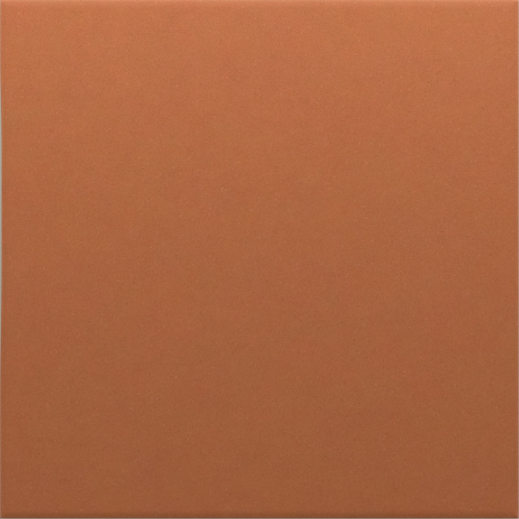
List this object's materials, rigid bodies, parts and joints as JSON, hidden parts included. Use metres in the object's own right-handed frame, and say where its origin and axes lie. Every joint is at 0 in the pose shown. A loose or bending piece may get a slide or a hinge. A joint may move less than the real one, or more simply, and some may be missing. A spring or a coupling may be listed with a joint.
{
  "type": "ceramic tile",
  "caption": "Square fired clay floor tile with a plain matt terracotta face, a rolled edge, sides that lean inwards and a ribbed back for the bedding mortar.",
  "frame": {"origin": "middle of the back, in the plane of the ribs that the tile lies on", "axes": "+Z out through the face that is walked on, +X and +Y along the sides"},
  "size_m": [0.3, 0.3, 0.011],
  "materials": {
    "fired_clay": null
  },
  "bodies": {
    "root": {"tile": "fired_clay"}
  },
  "joints": []
}
